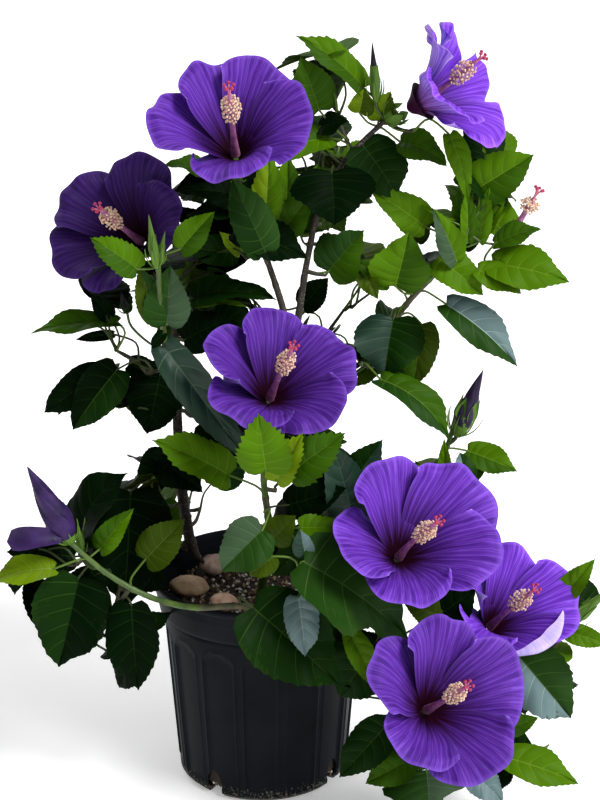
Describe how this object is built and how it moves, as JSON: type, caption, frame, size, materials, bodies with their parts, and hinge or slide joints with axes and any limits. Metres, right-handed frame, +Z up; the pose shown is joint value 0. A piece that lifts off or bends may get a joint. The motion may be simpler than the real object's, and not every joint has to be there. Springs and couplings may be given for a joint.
{
  "type": "potted hibiscus shrub",
  "caption": "Flowering hibiscus shrub with violet open blooms, leafy arching boughs and woody stems, growing in a black fluted nursery pot.",
  "frame": {"origin": "middle of the pot's flat underside, on the surface that the pot stands on", "axes": "+Z up, +X to the right of someone facing the plant's front, -Y towards that person"},
  "size_m": [0.4401, 0.3654, 0.5649],
  "materials": {
    "pot": "satin",
    "soil": "matte",
    "pebble": "matte",
    "bark": "matte",
    "shoot": "satin",
    "leaf": "satin",
    "petal": "matte",
    "bud": "matte"
  },
  "bodies": {
    "root": {"bloom_back_low": "petal", "bloom_back_top": "petal", "bloom_bottom_right": "petal", "bloom_center": "petal", "bloom_left": "petal", "bloom_low_right": "petal", "bloom_right": "petal", "bloom_top_left": "petal", "bloom_top_right": "petal", "bough_back_low": "bark", "bough_back_upper": "bark", "bough_low_front": "bark", "bough_low_left": "bark", "bough_low_right": "bark", "bough_middle_right": "bark", "bough_right": "bark", "bough_top_left": "bark", "bough_top_right": "bark", "bud_left": "bud", "bud_right": "bud", "leaves_back_left": "leaf", "leaves_back_low_left": "leaf", "leaves_back_low_right": "leaf", "leaves_back_right": "leaf", "leaves_back_top": "leaf", "leaves_bottom": "leaf", "leaves_center_left": "leaf", "leaves_center_low": "leaf", "leaves_center_shoot": "leaf", "leaves_crown_tip": "leaf", "leaves_left_lower": "leaf", "leaves_left_shoot": "leaf", "leaves_left_stem": "leaf", "leaves_left_tip": "leaf", "leaves_low_left_hanging": "leaf", "leaves_low_left_inner": "leaf", "leaves_low_left_tip": "leaf", "leaves_low_middle": "leaf", "leaves_middle_left": "leaf", "leaves_pot_front": "leaf", "leaves_right_foot": "leaf", "leaves_right_hip": "leaf", "leaves_right_inner": "leaf", "leaves_right_low_tip": "leaf", "leaves_right_middle": "leaf", "leaves_right_tip": "leaf", "leaves_shoulder_inner": "leaf", "leaves_shoulder_outer": "leaf", "leaves_upper_left": "leaf", "leaves_upper_middle": "leaf", "leaves_upper_right": "leaf", "pebble_front": "pebble", "pebble_pink": "pebble", "pebble_tan": "pebble", "pot": "pot", "shoot_center": "shoot", "shoot_left": "shoot", "soil": "soil", "stem_left": "bark", "stem_main": "bark"}
  },
  "joints": []
}
